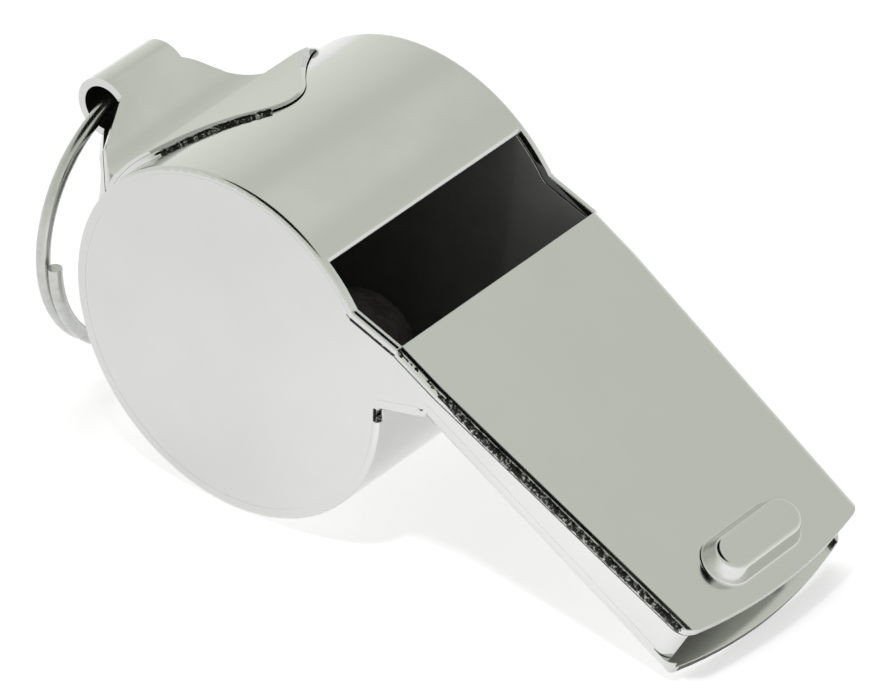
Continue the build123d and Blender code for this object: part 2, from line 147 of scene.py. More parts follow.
# Light of the tent's wall by height, from the paper up to the open top, as shares of its lowest light
TENT_FALL = [
    (0.0, 1.0), (0.3, 0.96), (0.53, 0.88), (0.71, 0.79),
    (0.775, 0.9), (0.84, 0.3), (0.88, 0.01), (1.0, 0.01),
]


def linear(code):
    """Linear colour with alpha from an sRGB hex code."""
    parts = [int(code[start:start + 2], 16) / 255 for start in (1, 3, 5)]
    return [
        part / 12.92 if part <= 0.04045 else ((part + 0.055) / 1.055) ** 2.4
        for part in parts
    ] + [1.0]


def colour(label, words, code):
    """Colour property with a hex default."""
    return FloatVectorProperty(
        name=label, description=words, subtype="COLOR", size=4, min=0, max=1, default=linear(code)
    )


def length(label, words, value):
    """Length property with a default in millimetres."""
    return FloatProperty(
        name=label, description=words, unit="LENGTH", min=0, default=value * MM, precision=5
    )


def share(label, words, value, most=1.0):
    """Plain number property."""
    return FloatProperty(name=label, description=words, min=0, max=most, default=value)


def angle(label, words, degrees):
    """Angle property with a default in degrees."""
    return FloatProperty(name=label, description=words, subtype="ANGLE", default=math.radians(degrees))


def power(label, words, watts):
    """Lamp power property with a default in watts."""
    return FloatProperty(name=label, description=words, unit="POWER", default=watts)


class WhistlePlate(bpy.types.PropertyGroup):
    """Finish of the stampings."""
    bright: colour("Bright plate", "Clean polished nickel", "#d4d4d2")
    hazy: colour("Hazy plate", "Nickel under a film of handling", "#cecfcc")
    roughness: share("Roughness", "Roughness of the polished plate", 0.13)
    haze_size: length("Haze size", "Width of one hazy patch", 5.0)
    wave_size: length("Wave size", "Width of one wave left in the sheet by pressing and buffing", 6.0)
    wave_height: length("Wave height", "Depth of those waves", 0.006)
    edge_round: length("Edge round", "Deburred edge of the cut sheet", 0.1)
    inside: colour("Inside", "Dull tarnished inside of the drum", "#a4a4a1")
    # Painted shade: a dark colour for the inside of the lug's eye and the lower lip's cut edge
    shade_paint: colour("Painted shade", "Dark metal where little plating reaches", "#4c4c48")


class WhistleSolder(bpy.types.PropertyGroup):
    """Solder in the seams."""
    bright: colour("Bright solder", "Buffed tin solder", "#c3c4bf")
    # The dark pits are flux; along the right wings' edges this dark solder is also painted shade for the
    # crevice under the wing
    dark: colour("Dark pits", "Flux left in the pits", "#2b2b28")
    flush: length("Flush half width", "Half the width of a seam's buffed solder", 0.15)
    film: length("Film", "How far buffed solder stands out from the plates", 0.004)
    bead: length("Bead radius", "Radius of the solder under the roof's edge", 0.24)
    rail: length("Rail half width", "Half the width of the dark solder beside the window's rails", 0.1)
    fillet: length("Fillet radius", "Radius of the solder at the foot of the lug's wings", 0.3)
    bright_run: length("Bright run", "How far bright solder runs along a wing, from the fold", 4.4)
    # The dark pitted run is painted shade in the crevice under the right wings' edges, laid on real
    # solder lumps
    pitted_shade_run: length("Pitted run", "Where the pitted solder after it ends", 11.2)
    grain: length("Grain size", "Length of one lump in the solder", 0.16)
    uneven: length("Unevenness", "How far lumps stand out", 0.06)
    seed: IntProperty(name="Seed", description="Pattern of the lumps", default=4)


class WhistleRing(bpy.types.PropertyGroup):
    """Split ring wound from wire."""
    outside: length("Outside", "Outside diameter of the ring", 17.1)
    wire: length("Wire", "Diameter of the wire", 0.85)
    gap: length("Coil gap", "Gap between two turns that spring shut", 0.04)
    turns: share("Turns", "How many turns the wire makes", 1.6, 3.0)
    lift: length("Lift", "How far the wire stands above the eye's centre", 0.4)
    steel: colour("Wire colour", "Nickel-plated spring steel", "#cfd0cc")


class WhistlePea(bpy.types.PropertyGroup):
    """Loose pea."""
    cork: colour("Cork", "Composition cork, grey with age", "#76736e")
    bark: colour("Bark", "Dark grains of bark in the cork", "#64605a")
    grain: length("Grain size", "Width of one cork grain", 0.9)
    pit: length("Pit depth", "Depth of the pits between grains", 0.12)


class WhistleStage(bpy.types.PropertyGroup):
    """Floor, light and camera."""
    paper: colour("Paper", "White paper floor", "#f4f4f4")
    paper_glow: share("Paper glow", "Level of the floor as the lens and the plate see it", 0.57)
    tent: colour("Tent", "Cloth wall of the light tent", "#f6faf1")
    tent_level: share("Tent level", "Level of the cloth in the plate, low on the wall", 1.0, 2.0)
    lamp_power: power("Lamp power", "Power of the soft lamp", 1.5)
    room_level: share("Room level", "Level of the room's light", 0.35)
    pool_power: power("Pool power", "Power of the spot lamp on the paper beside the mouthpiece", 1.6)
    lens: FloatProperty(name="Lens", description="Focal length in millimetres", default=404.1)
    distance: length("Distance", "From the lens to the point it is aimed at", 563.7)
    azimuth: angle("Azimuth", "Turn of the view about the upright axis", 39.22)
    elevation: angle("Elevation", "Height of the view above the floor", 33.46)
    roll: angle("Roll", "Turn of the frame about the view", -0.99)


class WhistleSettings(bpy.types.PropertyGroup):
    """All settings of the whistle."""
    plate: PointerProperty(type=WhistlePlate)
    solder: PointerProperty(type=WhistleSolder)
    ring: PointerProperty(type=WhistleRing)
    pea: PointerProperty(type=WhistlePea)
    stage: PointerProperty(type=WhistleStage)


def add_node(tree, kind, inputs=None, **settings):
    """Adds a node, sets its properties, and links or fills its inputs."""
    made = tree.nodes.new(kind)
    for name, value in settings.items():
        setattr(made, name, value)
    for name, value in (inputs or {}).items():
        if isinstance(value, bpy.types.NodeSocket):
            tree.links.new(value, made.inputs[name])
        else:
            made.inputs[name].default_value = value
    return made


def new_material(name):
    """Empty material with its node tree and output."""
    made = bpy.data.materials.new(name)
    made.use_nodes = True
    made.node_tree.nodes.clear()
    output = add_node(made.node_tree, "ShaderNodeOutputMaterial")
    return made, made.node_tree, output


def polished_nickel(plate, deburred=True):
    """Nickel plate on brass, pressed and buffed: a soft mirror with faint haze and slow waves."""
    name = "Polished nickel plate" if deburred else "Buffed nickel plate"
    if name in bpy.data.materials:
        return bpy.data.materials[name]
    made, tree, output = new_material(name)
    place = add_node(tree, "ShaderNodeTexCoord").outputs["Object"]
    haze = add_node(tree, "ShaderNodeTexNoise",
                    {"Vector": place, "Scale": 1 / plate.haze_size, "Detail": 4.0, "Roughness": 0.6})
    tint = add_node(tree, "ShaderNodeMix",
                    {"Factor": haze.outputs["Fac"], "A": plate.bright, "B": plate.hazy},
                    data_type="RGBA")
    smear = add_node(tree, "ShaderNodeMapRange",
                     {"Value": haze.outputs["Fac"], "From Min": 0.3, "From Max": 0.75,
                      "To Min": plate.roughness * 0.75, "To Max": plate.roughness * 1.45})
    wave = add_node(tree, "ShaderNodeTexNoise",
                    {"Vector": place, "Scale": 1 / plate.wave_size, "Detail": 1.0, "Roughness": 0.4})
    bump = add_node(tree, "ShaderNodeBump",
                    {"Height": wave.outputs["Fac"], "Strength": 1.0, "Distance": plate.wave_height})
    # A deburred edge catches a thin line of light; on the lug the sheet runs into the barrel instead
    if deburred:
        worn = add_node(tree, "ShaderNodeBevel", {"Radius": plate.edge_round}, samples=6)
        tree.links.new(worn.outputs["Normal"], bump.inputs["Normal"])
    shader = add_node(tree, "ShaderNodeBsdfPrincipled",
                      {"Base Color": tint.outputs["Result"], "Metallic": 1.0,
                       "Roughness": smear.outputs["Result"], "Normal": bump.outputs["Normal"]})
    tree.links.new(shader.outputs["BSDF"], output.inputs["Surface"])
    return made


def tarnished_inside(plate):
    """Unplated inside of the drum: dull grey with stains, matt, so the window looks in on the dark."""
    if "Tarnished drum inside" in bpy.data.materials:
        return bpy.data.materials["Tarnished drum inside"]
    made, tree, output = new_material("Tarnished drum inside")
    place = add_node(tree, "ShaderNodeTexCoord").outputs["Object"]
    stain_size = 2.0 * MM
    stain = add_node(tree, "ShaderNodeTexNoise",
                     {"Vector": place, "Scale": 1 / stain_size, "Detail": 3.0})
    dark = add_node(tree, "ShaderNodeHueSaturation", {"Value": 0.7, "Color": plate.inside})
    tint = add_node(tree, "ShaderNodeMix",
                    {"Factor": stain.outputs["Fac"], "A": plate.inside, "B": dark.outputs["Color"]},
                    data_type="RGBA")
    shader = add_node(tree, "ShaderNodeBsdfPrincipled",
                      {"Base Color": tint.outputs["Result"], "Roughness": 0.75,
                       "Specular IOR Level": 0.15})
    tree.links.new(shader.outputs["BSDF"], output.inputs["Surface"])
    return made


def painted_shade_metal(plate):
    """Dark colour painted as shade in the folded eye and as a dark line on the cut lower lip."""
    if "Bare dark metal" in bpy.data.materials:
        return bpy.data.materials["Bare dark metal"]
    made, tree, output = new_material("Bare dark metal")
    shader = add_node(tree, "ShaderNodeBsdfPrincipled",
                      {"Base Color": plate.shade_paint, "Metallic": 1.0, "Roughness": 0.45})
    tree.links.new(shader.outputs["BSDF"], output.inputs["Surface"])
    return made


def drawn_wire(ring):
    """Nickel-plated spring wire, drawn through a die: bright with small rubs."""
    made, tree, output = new_material("Drawn spring wire")
    place = add_node(tree, "ShaderNodeTexCoord").outputs["Object"]
    rub_size = 0.8 * MM
    rub = add_node(tree, "ShaderNodeTexNoise",
                   {"Vector": place, "Scale": 1 / rub_size, "Detail": 5.0, "Roughness": 0.65})
    worn = add_node(tree, "ShaderNodeHueSaturation", {"Value": 0.72, "Color": ring.steel})
    tint = add_node(tree, "ShaderNodeMix",
                    {"Factor": rub.outputs["Fac"], "A": ring.steel, "B": worn.outputs["Color"]},
                    data_type="RGBA")
    smear = add_node(tree, "ShaderNodeMapRange",
                     {"Value": rub.outputs["Fac"], "From Min": 0.3, "From Max": 0.7,
                      "To Min": 0.14, "To Max": 0.3})
    shader = add_node(tree, "ShaderNodeBsdfPrincipled",
                      {"Base Color": tint.outputs["Result"], "Metallic": 1.0,
                       "Roughness": smear.outputs["Result"]})
    tree.links.new(shader.outputs["BSDF"], output.inputs["Surface"])
    return made


def tin_solder(solder):
    """Tin solder, buffed on top and pitted below: bright lumps with dark flux between them; along the
    right wings' edges the dark also stands as painted shade in the crevice.
    """
    if "Buffed tin solder" in bpy.data.materials:
        return bpy.data.materials["Buffed tin solder"]
    made, tree, output = new_material("Buffed tin solder")
    place = add_node(tree, "ShaderNodeTexCoord").outputs["Object"]
    lump_size = 1.5 * solder.grain
    lump = add_node(tree, "ShaderNodeTexNoise",
                    {"Vector": place, "Scale": 1 / lump_size, "Detail": 3.0, "Roughness": 0.7})
    pit = add_node(tree, "ShaderNodeMapRange",
                   {"Value": lump.outputs["Fac"], "From Min": 0.53, "From Max": 0.66})
    tint = add_node(tree, "ShaderNodeMix",
                    {"Factor": pit.outputs["Result"], "A": solder.dark, "B": solder.bright},
                    data_type="RGBA")
    shader = add_node(tree, "ShaderNodeBsdfPrincipled",
                      {"Base Color": tint.outputs["Result"], "Metallic": 1.0, "Roughness": 0.38})
    tree.links.new(shader.outputs["BSDF"], output.inputs["Surface"])
    return made


def composition_cork(pea):
    """Ground cork bound into a ball and greyed with age: pale grains, darker bark, matt and pitted."""
    made, tree, output = new_material("Composition cork")
    place = add_node(tree, "ShaderNodeTexCoord").outputs["Object"]
    grain = add_node(tree, "ShaderNodeTexVoronoi", {"Vector": place, "Scale": 1 / pea.grain})
    tone = add_node(tree, "ShaderNodeSeparateColor", {"Color": grain.outputs["Color"]})
    tint = add_node(tree, "ShaderNodeMix",
                    {"Factor": tone.outputs["Red"], "A": pea.cork, "B": pea.bark}, data_type="RGBA")
    grit_size = 0.15 * MM
    grit_depth = 0.05 * MM
    fine = add_node(tree, "ShaderNodeTexNoise",
                    {"Vector": place, "Scale": 1 / grit_size, "Detail": 3.0})
    bump = add_node(tree, "ShaderNodeBump",
                    {"Height": fine.outputs["Fac"], "Strength": 0.6, "Distance": grit_depth})
    shader = add_node(tree, "ShaderNodeBsdfPrincipled",
                      {"Base Color": tint.outputs["Result"], "Roughness": 0.85,
                       "Normal": bump.outputs["Normal"]})
    tree.links.new(shader.outputs["BSDF"], output.inputs["Surface"])
    return made


def mesh_of(name, shape):
    """Plain mesh of a finished shape, which is freed."""
    mesh = bpy.data.meshes.new(name)
    shape.to_mesh(mesh)
    shape.free()
    return mesh


def new_piece(name, mesh):
    """Object for a mesh, linked to the scene at the origin."""
    made = bpy.data.objects.new(name, mesh)
    bpy.context.scene.collection.objects.link(made)
    return made


def settle(piece):
    """Turns a piece's modifiers into plain mesh."""
    bpy.context.view_layer.update()
    graph = bpy.context.evaluated_depsgraph_get()
    mesh = bpy.data.meshes.new_from_object(
        piece.evaluated_get(graph), preserve_all_data_layers=True, depsgraph=graph
    )
    piece.modifiers.clear()
    piece.data = mesh
    mesh.name = piece.name
    return piece


def in_hollow(point):
    """Whether a point in whistle axes lies in the drum or the throat."""
    drum = math.hypot(point.x, point.z) < CHAMBER_RADIUS
    throat = 0 < point.x < THROAT_FRONT and THROAT_LOW < point.z < ROOF_Z - SHEET
    return abs(point.y) < HALF_WIDTH - SHEET and (drum or throat)


def lug_lean(middle, out):
    """How far a face of the lug looks away from the fold's plane, and out along the fold."""
    return out.dot(LUG_RISE) * math.copysign(1, middle.dot(LUG_RISE)), out.dot(LUG_FOLD)


def is_painted_shade(node, face):
    """Whether a face lines the lug's eye or is the floor's cut front edge, where shade is painted dark.
    """
    middle, out = TO_WHISTLE @ face.center, TO_WHISTLE.to_3x3() @ face.normal
    if node == "lanyard_lug":
        lift, reach = lug_lean(middle, out)
        to_eye = TO_WHISTLE @ EYE - middle
        inward = out.x * to_eye.x + out.z * to_eye.z > 0 and (lift < LINING_LIFT or reach < -END_ON)
        off_barrel = math.hypot(middle.x, middle.z) > BARREL_RADIUS + 2 * SHEET
        return inward and abs(out.y) < SIDEWAYS and off_barrel
    inner = middle.x > LIP_REAR and abs(middle.y) < half_width(middle.x) - 2 * SHEET
    return node == "mouthpiece_floor" and out.x > LIP_AHEAD and inner


def trued_copy(node):
    """Copy of a stamping's mesh with its loose triangles joined and its surfaces' own normals kept."""
    source = frame["nodes"][node].data
    places, points, faces, normals = {}, [], [], []
    for face in source.polygons:
        corners = []
        for index in face.vertices:
            point = source.vertices[index].co
            key = tuple(round(value / MERGE) for value in point)
            if key not in places:
                places[key] = len(points)
                points.append(point.copy())
            corners.append(places[key])
        if len(set(corners)) == len(corners):
            faces.append(corners)
            normals += [source.corner_normals[loop].vector.copy() for loop in face.loop_indices]
    mesh = bpy.data.meshes.new(node + "_plated")
    mesh.from_pydata(points, [], faces)
    mesh.polygons.foreach_set("use_smooth", [True] * len(faces))
    mesh.normals_split_custom_set(normals)
    return new_piece(node + "_plated", mesh)


def plate_stamping(node, settings):
    """Stands a plated copy for a stamping, with its hollow side left dull and shade painted dark on the
    lug's eye lining and the floor's cut lip edge.
    """
    piece = trued_copy(node)
    piece.data.materials.append(polished_nickel(settings.plate, node != "lanyard_lug"))
    piece.data.materials.append(tarnished_inside(settings.plate))
    piece.data.materials.append(painted_shade_metal(settings.plate))
    for face in piece.data.polygons:
        ahead = TO_WHISTLE @ (face.center + face.normal * SHEET / 2)
        if in_hollow(ahead):
            face.material_index = TARNISHED
        else:
            # The eye lining and the lip's cut edge get the dark colour that paints their shade
            face.material_index = PAINTED_SHADE if is_painted_shade(node, face) else POLISHED
    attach(piece, "whistle_body")
    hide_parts(node)
    return piece


def calm_lug(mesh):
    """Turns the normals of the lug's outer sheet slowly from the eye to the wing tips, as if buffed."""
    crown = (TO_WHISTLE @ EYE).dot(LUG_FOLD)
    tip = math.sqrt(BARREL_RADIUS ** 2 - LUG_WING_HEIGHT ** 2)
    normals = [corner.vector.copy() for corner in mesh.corner_normals]
    turn = TO_ROW.to_3x3()
    for face in mesh.polygons:
        middle = TO_WHISTLE @ face.center
        out = turn.inverted() @ face.normal
        half = math.copysign(1, middle.dot(LUG_RISE))
        lift, reach = lug_lean(middle, out)
        from_axis = Vector((middle.x, 0, middle.z)).normalized()
        # The thin rim of a wing tip runs into the barrel
        if abs(middle.dot(LUG_RISE)) > LUG_SHOULDER and abs(out.dot(from_axis)) < RIM_LEAN:
            for loop in face.loop_indices:
                normals[loop] = turn @ from_axis
            continue
        outer = lift > OUTER_LIFT or (reach > END_ON and lift > LINING_LIFT)
        if abs(out.y) > SIDEWAYS or not outer:
            continue
        for loop in face.loop_indices:
            point = TO_WHISTLE @ mesh.vertices[mesh.loops[loop].vertex_index].co
            run = (crown - point.dot(LUG_FOLD)) / (crown - tip)
            if run > 0:
                lean = LUG_CALM_LEAN * (1 - max(1 - run, 0) ** LUG_CALM_EASE)
                wanted = LUG_RISE * half * math.cos(lean) + LUG_FOLD * math.sin(lean)
                own = normals[loop]
                normals[loop] = (own * (1 - LUG_CALM) + (turn @ wanted) * LUG_CALM).normalized()
    mesh.normals_split_custom_set(normals)


def half_width(x):
    """Half the width of the mouthpiece."""
    return HALF_WIDTH + SIDE_TAPER * max(x - FLOOR_REAR, 0)


def on_barrel(radius, turn):
    """Place about the barrel's axis, as X and Z in whistle axes."""
    return radius * math.cos(turn), radius * math.sin(turn)


def inner_line(start, end, depth):
    """Profile line shifted into the sheet, to the right of its direction, by a depth."""
    along = (Vector(end) - Vector(start)).normalized()
    inward = Vector((along.y, -along.x)) * depth
    return [tuple(Vector(point) + inward) for point in (start, end)]


def rail_seam():
    """Line between a rail beside the window and the side plate."""
    dip = on_barrel(BARREL_RADIUS, DIP_ANGLE)
    return inner_line(dip, (ROOF_REAR, ROOF_Z), SHEET + SEAM / 2)


def roof_seam(drop):
    """Line along the roof's rolled edge, at a share of its height down from the roof."""
    level = ROOF_Z - drop * ROOF_SKIRT
    return [(x, level) for x in (ROOF_REAR, ROOF_SOLDER_FULL, ROOF_FRONT + SHEET)]


def rim_seam():
    """Line between the strip and the disc, round to the throat and along the ramp to the floor."""
    steps = 96
    first, last = DIP_ANGLE, THROAT_ANGLE + 2 * math.pi
    rim = [
        on_barrel(CHAMBER_RADIUS - SEAM / 2, first + (last - first) * step / steps)
        for step in range(steps + 1)
    ]
    crease = on_barrel(BARREL_RADIUS, THROAT_ANGLE)
    head, foot = inner_line((FLOOR_REAR, FLOOR_REAR_Z), crease, SHEET + SEAM / 2)
    corner = FLOOR_REAR + SEAM / 2
    return rim + [foot, head, (corner, head[1]), (corner, floor_seam()[0][1])]


def floor_seam():
    """Line between the cheek and the floor's rolled edge."""
    level = FLOOR_REAR_Z + FLOOR_RISE + SEAM / 2
    return [(x, level + FLOOR_SLOPE * (x - FLOOR_REAR)) for x in (FLOOR_REAR, ROOF_FRONT)]


def solder_tree():
    """Geometry nodes that run an uneven bead and loose grains of solder along a line."""
    if "solder_bead" in bpy.data.node_groups:
        return bpy.data.node_groups["solder_bead"]
    tree = bpy.data.node_groups.new("solder_bead", "GeometryNodeTree")
    sockets = [
        ("Geometry", "NodeSocketGeometry"), ("Radius", "NodeSocketFloat"), ("Grain", "NodeSocketFloat"),
        ("Unevenness", "NodeSocketFloat"), ("Grainy", "NodeSocketBool"), ("Seed", "NodeSocketInt"),
        ("Material", "NodeSocketMaterial"),
    ]
    for label, kind in sockets:
        tree.interface.new_socket(label, in_out="INPUT", socket_type=kind)
    tree.interface.new_socket("Geometry", in_out="OUTPUT", socket_type="NodeSocketGeometry")
    given = add_node(tree, "NodeGroupInput").outputs
    line = add_node(tree, "GeometryNodeMeshToCurve", {"Mesh": given["Geometry"]})
    even = add_node(tree, "GeometryNodeResampleCurve",
                    {"Curve": line.outputs["Curve"], "Length": given["Grain"]}, mode="LENGTH")
    ring = add_node(tree, "GeometryNodeCurvePrimitiveCircle",
                    {"Resolution": 8, "Radius": given["Radius"]})
    bead = add_node(tree, "GeometryNodeCurveToMesh",
                    {"Curve": even.outputs["Curve"], "Profile Curve": ring.outputs["Curve"],
                     "Fill Caps": True})
    place = add_node(tree, "GeometryNodeInputPosition")
    fineness = add_node(tree, "ShaderNodeMath", {0: 0.6, 1: given["Grain"]}, operation="DIVIDE")
    lump = add_node(tree, "ShaderNodeTexNoise",
                    {"Vector": place.outputs["Position"], "Scale": fineness.outputs["Value"],
                     "W": given["Seed"], "Detail": 2.0}, noise_dimensions="4D")
    swell = add_node(tree, "ShaderNodeMapRange",
                     {"Value": lump.outputs["Fac"], "From Min": 0.25, "From Max": 0.75,
                      "To Min": -1.0, "To Max": 1.0})
    reach = add_node(tree, "ShaderNodeMath",
                     {0: swell.outputs["Result"], 1: given["Unevenness"]}, operation="MULTIPLY")
    outward = add_node(tree, "GeometryNodeInputNormal")
    shove = add_node(tree, "ShaderNodeVectorMath",
                     {0: outward.outputs["Normal"], "Scale": reach.outputs["Value"]}, operation="SCALE")
    lumpy = add_node(tree, "GeometryNodeSetPosition",
                     {"Geometry": bead.outputs["Mesh"], "Offset": shove.outputs["Vector"]})
    grain_size = add_node(tree, "ShaderNodeMath", {0: given["Radius"], 1: 0.8}, operation="MULTIPLY")
    grain = add_node(tree, "GeometryNodeMeshIcoSphere",
                     {"Radius": grain_size.outputs["Value"], "Subdivisions": 2})
    size = add_node(tree, "FunctionNodeRandomValue",
                    {"Min": 0.25, "Max": 1.1, "Seed": given["Seed"]}, data_type="FLOAT")
    points = add_node(tree, "GeometryNodeCurveToPoints",
                      {"Curve": even.outputs["Curve"]}, mode="EVALUATED")
    grains = add_node(tree, "GeometryNodeInstanceOnPoints",
                      {"Points": points.outputs["Points"], "Selection": given["Grainy"],
                       "Instance": grain.outputs["Mesh"]})
    tree.links.new(size.outputs[1], grains.inputs["Scale"])
    both = add_node(tree, "GeometryNodeJoinGeometry")
    tree.links.new(lumpy.outputs["Geometry"], both.inputs["Geometry"])
    tree.links.new(grains.outputs["Instances"], both.inputs["Geometry"])
    whole = add_node(tree, "GeometryNodeRealizeInstances", {"Geometry": both.outputs["Geometry"]})
    soft = add_node(tree, "GeometryNodeSetShadeSmooth", {"Geometry": whole.outputs["Geometry"]})
    finish = add_node(tree, "GeometryNodeSetMaterial",
                      {"Geometry": soft.outputs["Geometry"], "Material": given["Material"]})
    add_node(tree, "NodeGroupOutput", {"Geometry": finish.outputs["Geometry"]})
    return tree


def grow(piece, tree, values):
    """Runs a node tree on a piece with its named inputs, and keeps the plain mesh."""
    modifier = piece.modifiers.new(tree.name, "NODES")
    modifier.node_group = tree
    names = {item.name: item.identifier for item in tree.interface.items_tree if item.in_out == "INPUT"}
    for label, value in values.items():
        modifier[names[label]] = value
    return settle(piece)


def solder_line(name, points, solder, finish, radius, lumps=0.0, grainy=False):
    """Solder of a radius along points in the row frame, with lumps as a share of their height."""
    mesh = bpy.data.meshes.new(name)
    mesh.from_pydata(points, [(step, step + 1) for step in range(len(points) - 1)], [])
    piece = new_piece(name, mesh)
    grow(piece, solder_tree(), {
        "Radius": radius, "Grain": solder.grain, "Unevenness": solder.uneven * lumps, "Grainy": grainy,
        "Seed": solder.seed, "Material": finish,
    })
    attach(piece, "whistle_body")
    return piece


def flush_seam(name, profile, side, reach, film, finish):
    """Flat ribbon of solder over a seam, a film's thickness proud of the side of the body."""
    middle = [Vector(point) for point in profile]
    points = []
    for step, point in enumerate(middle):
        along = (middle[min(step + 1, len(middle) - 1)] - middle[max(step - 1, 0)]).normalized()
        across = Vector((along.y, -along.x)) * reach
        points += side_line([point - across, point + across], side, -film)
    # Each face looks out of the body, whichever side it is on
    rows = [[2 * step + corner for corner in ((0, 1, 3, 2) if side > 0 else (0, 2, 3, 1))]
            for step in range(len(middle) - 1)]
    mesh = bpy.data.meshes.new(name)
    mesh.from_pydata(points, [], rows)
    mesh.materials.append(finish)
    piece = new_piece(name, mesh)
    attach(piece, "whistle_body")
    return piece


def side_line(profile, side, sink):
    """Profile line laid on one side of the body, sunk a little into the seam."""
    return [TO_ROW @ Vector((x, side * (half_width(x) - sink), z)) for x, z in profile]


def wing_edge(side, up):
    """Line under the edge of one wing of the lug, on the barrel."""
    # A wing's edge runs straight up to its shoulder and from there to the round tip, which it touches
    centre = LUG_WING_HEIGHT - LUG_WING_ROUND
    shoulder = Vector((LUG_SHOULDER - centre, LUG_HALF))
    lean = math.atan2(shoulder.y, shoulder.x) - math.acos(LUG_WING_ROUND / shoulder.length)
    clear = LUG_HALF + SEAM
    outline = [(clear, WING_START), (clear, LUG_SHOULDER)]
    steps = 8
    for step in range(steps + 1):
        turn = lean * (1 - step / steps)
        outline.append((LUG_WING_ROUND * math.sin(turn), centre + LUG_WING_ROUND * math.cos(turn)))
    radius = BARREL_RADIUS + SEAM / 2
    line = []
    for start, end in zip(outline, outline[1:]):
        parts = math.ceil(math.dist(start, end) / WING_STEP)
        for part in range(parts):
            across = start[0] + (end[0] - start[0]) * part / parts
            height = start[1] + (end[1] - start[1]) * part / parts
            turn = LUG_ANGLE + up * math.asin(height / radius)
            x, z = on_barrel(radius, turn)
            line.append(TO_ROW @ Vector((x, side * across, z)))
    return line


def ring_tree():
    """Geometry nodes that wind a wire into a split ring."""
    tree = bpy.data.node_groups.new("wound_wire", "GeometryNodeTree")
    sockets = [
        ("Geometry", "NodeSocketGeometry"), ("Radius", "NodeSocketFloat"),
        ("Wire Radius", "NodeSocketFloat"), ("Turns", "NodeSocketFloat"),
        ("Rise", "NodeSocketFloat"), ("Material", "NodeSocketMaterial"),
    ]
    for label, kind in sockets:
        tree.interface.new_socket(label, in_out="INPUT", socket_type=kind)
    tree.interface.new_socket("Geometry", in_out="OUTPUT", socket_type="NodeSocketGeometry")
    given = add_node(tree, "NodeGroupInput").outputs
    wound = add_node(tree, "GeometryNodeCurveSpiral",
                     {"Resolution": 96, "Rotations": given["Turns"], "Start Radius": given["Radius"],
                      "End Radius": given["Radius"], "Height": given["Rise"]})
    section = add_node(tree, "GeometryNodeCurvePrimitiveCircle",
                       {"Resolution": 24, "Radius": given["Wire Radius"]})
    wire = add_node(tree, "GeometryNodeCurveToMesh",
                    {"Curve": wound.outputs["Curve"], "Profile Curve": section.outputs["Curve"],
                     "Fill Caps": True})
    whole = add_node(tree, "GeometryNodeRealizeInstances", {"Geometry": wire.outputs["Mesh"]})
    finish = add_node(tree, "GeometryNodeSetMaterial",
                      {"Geometry": whole.outputs["Geometry"], "Material": given["Material"]})
    add_node(tree, "NodeGroupOutput", {"Geometry": finish.outputs["Geometry"]})
    return tree


class WHISTLE_OT_top_strip(bpy.types.Operator):
    """Plates the stamping that is roof, lip and barrel wall"""
    bl_idname = "whistle.top_strip"
    bl_label = "Plate the top strip"

    def execute(self, context):
        plate_stamping("top_strip", context.scene.whistle)
        return {"FINISHED"}


class WHISTLE_OT_side_plates(bpy.types.Operator):
    """Plates the two side plates"""
    bl_idname = "whistle.side_plates"
    bl_label = "Plate the side plates"

    def execute(self, context):
        plate_stamping("left_side_plate", context.scene.whistle)
        plate_stamping("right_side_plate", context.scene.whistle)
        return {"FINISHED"}


class WHISTLE_OT_mouthpiece_floor(bpy.types.Operator):
    """Plates the mouthpiece floor with its lower lip"""
    bl_idname = "whistle.mouthpiece_floor"
    bl_label = "Plate the mouthpiece floor"

    def execute(self, context):
        plate_stamping("mouthpiece_floor", context.scene.whistle)
        return {"FINISHED"}


class WHISTLE_OT_lanyard_lug(bpy.types.Operator):
    """Plates the folded lanyard lug"""
    bl_idname = "whistle.lanyard_lug"
    bl_label = "Plate the lanyard lug"

    def execute(self, context):
        calm_lug(plate_stamping("lanyard_lug", context.scene.whistle).data)
        return {"FINISHED"}


class WHISTLE_OT_solder(bpy.types.Operator):
    """Runs solder along the seams between the stampings"""
    bl_idname = "whistle.solder"
    bl_label = "Solder the seams"

    def execute(self, context):
        solder = context.scene.whistle.solder
        plated = polished_nickel(context.scene.whistle.plate, False)
        rough = tin_solder(solder)
        pitted_radius = PITTED_SHARE * solder.bead
        bright = round(solder.bright_run / WING_STEP)
        pitted = round(solder.pitted_shade_run / WING_STEP)
        for label, side in SIDES.items():
            for seam, profile in {"rim": rim_seam(), "floor": floor_seam()}.items():
                name = "_".join([label, seam, "solder"])
                flush_seam(name, profile, side, solder.flush, solder.film, plated)
            flush_seam(label + "_rail_solder", rail_seam(), side, solder.rail, solder.film, rough)
            rear, *front = roof_seam(ROOF_SOLDER_DROP[label])
            lip = side_line([rear], side, ROOF_SOLDER_REAR_SINK * solder.bead)
            lip += side_line(front, side, ROOF_SOLDER_SINK * solder.bead)
            solder_line(label + "_roof_solder", lip, solder, rough, solder.bead, 1.0, True)
            for height, up in WINGS.items():
                name = "_".join([label, height, "wing_solder"])
                edge = wing_edge(side, up)
                solder_line(name, edge[:bright + 1], solder, plated, solder.fillet)
                # On the right, dark pitted solder past the bright run is painted shade in the crevice
                # under the wing's edge, as well as solder
                if label == "right":
                    rest = edge[bright:pitted]
                    solder_line(name + "_pitted", rest, solder, rough, pitted_radius, 1.0, True)
        return {"FINISHED"}


